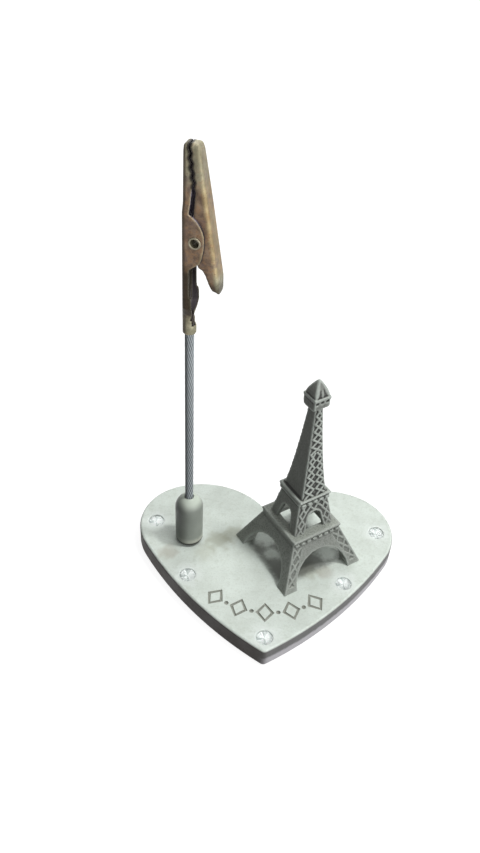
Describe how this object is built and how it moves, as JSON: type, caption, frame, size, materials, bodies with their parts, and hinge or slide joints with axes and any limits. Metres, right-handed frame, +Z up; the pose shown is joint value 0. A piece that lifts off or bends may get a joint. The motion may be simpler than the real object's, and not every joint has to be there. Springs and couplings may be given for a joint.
{
  "type": "memo holder",
  "caption": "Heart-shaped cast desk stand with a lattice tower figure, set glass stones and a wire-rope stem that carries a sprung alligator clip for notes or photographs.",
  "frame": {"origin": "on the underside of the heart plate, below the middle of its outline", "axes": "+Z up along the stem, the heart's tip towards -Y (the viewer), +X to the viewer's right"},
  "size_m": [0.06, 0.0478, 0.0988],
  "materials": {
    "plate": "matte pale pewter casting with stains",
    "tower": "antiqued pewter, dark with rubbed edges",
    "stone": "clear cut glass, foil backed",
    "ferrule": "satin nickel plate",
    "rope": "bright stranded wire",
    "screw": "zinc plated",
    "clip": "aged brass plate, browned",
    "rivet": "aged brass plate",
    "spring": "spring wire"
  },
  "bodies": {
    "base": {"heart_plate": "plate", "lattice_tower": "tower", "stem_ferrule": "ferrule", "rope_core": "rope", "ferrule_screw": "screw", "fixed_jaw": "clip", "pivot_rivet": "rivet", "torsion_spring": "spring", "stone_shoulder_right": "stone", "stone_shoulder_left": "stone", "stone_flank_right": "stone", "stone_flank_left": "stone", "stone_tip": "stone", "rope_strand_1": "rope", "rope_strand_2": "rope", "rope_strand_3": "rope", "rope_strand_4": "rope", "rope_strand_5": "rope", "rope_strand_6": "rope", "rope_strand_7": "rope", "rope_strand_8": "rope", "rope_strand_9": "rope", "rope_strand_10": "rope", "rope_strand_11": "rope", "rope_strand_12": "rope"},
    "lever": {"lever_jaw": "clip"}
  },
  "joints": [
    {"name": "lever_pivot", "type": "hinge", "parent": "base", "child": "lever", "pos_m": [-0.01636, 0.00546, 0.08235], "axis": [0.2588, 0.9659, 0], "range_deg": [0, 18], "stiffness_Nm_per_rad": 0.03, "springref_deg": -34.38, "deforming": ["torsion_spring"]}
  ]
}
